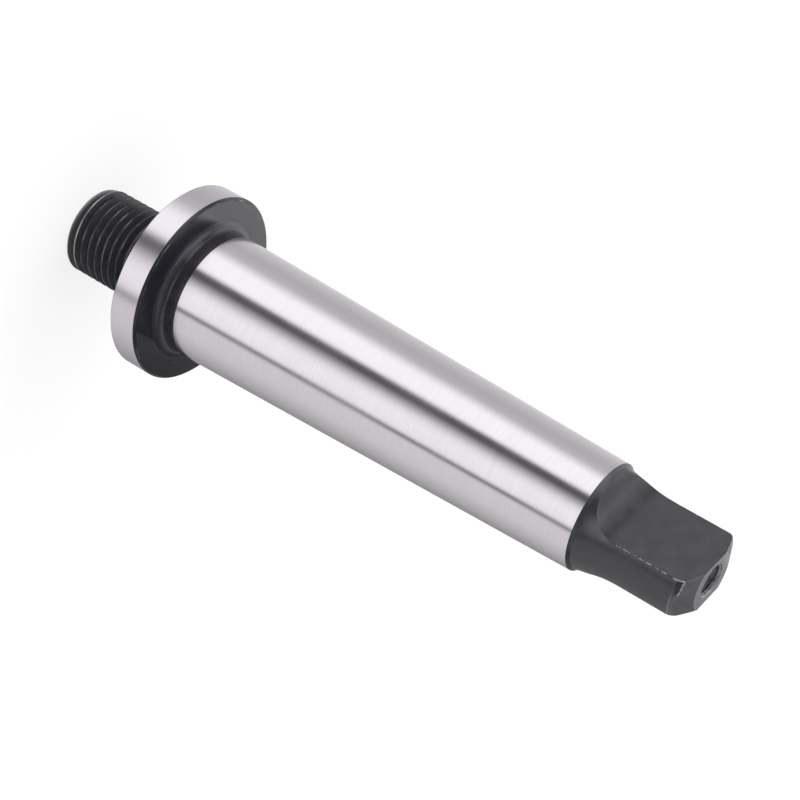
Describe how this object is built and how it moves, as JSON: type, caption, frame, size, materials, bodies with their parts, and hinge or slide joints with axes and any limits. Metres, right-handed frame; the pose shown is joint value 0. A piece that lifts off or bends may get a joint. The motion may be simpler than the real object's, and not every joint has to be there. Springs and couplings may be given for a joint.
{
  "type": "threaded drill chuck arbor",
  "caption": "Steel drill chuck arbor with a threaded stub, a ground collar, a Morse taper shank and a flat tang with a tapped hole.",
  "frame": {"origin": "centre of the threaded end's face, which the arbor stands on", "axes": "+Z along the arbor's axis from the threaded end to the tang, -Y square to one tang flat"},
  "size_m": [0.027, 0.027, 0.1003],
  "materials": {
    "steel": "ground bright on the taper and the collar's rim, black oxide elsewhere"
  },
  "bodies": {
    "root": {"arbor": "steel"}
  },
  "joints": []
}
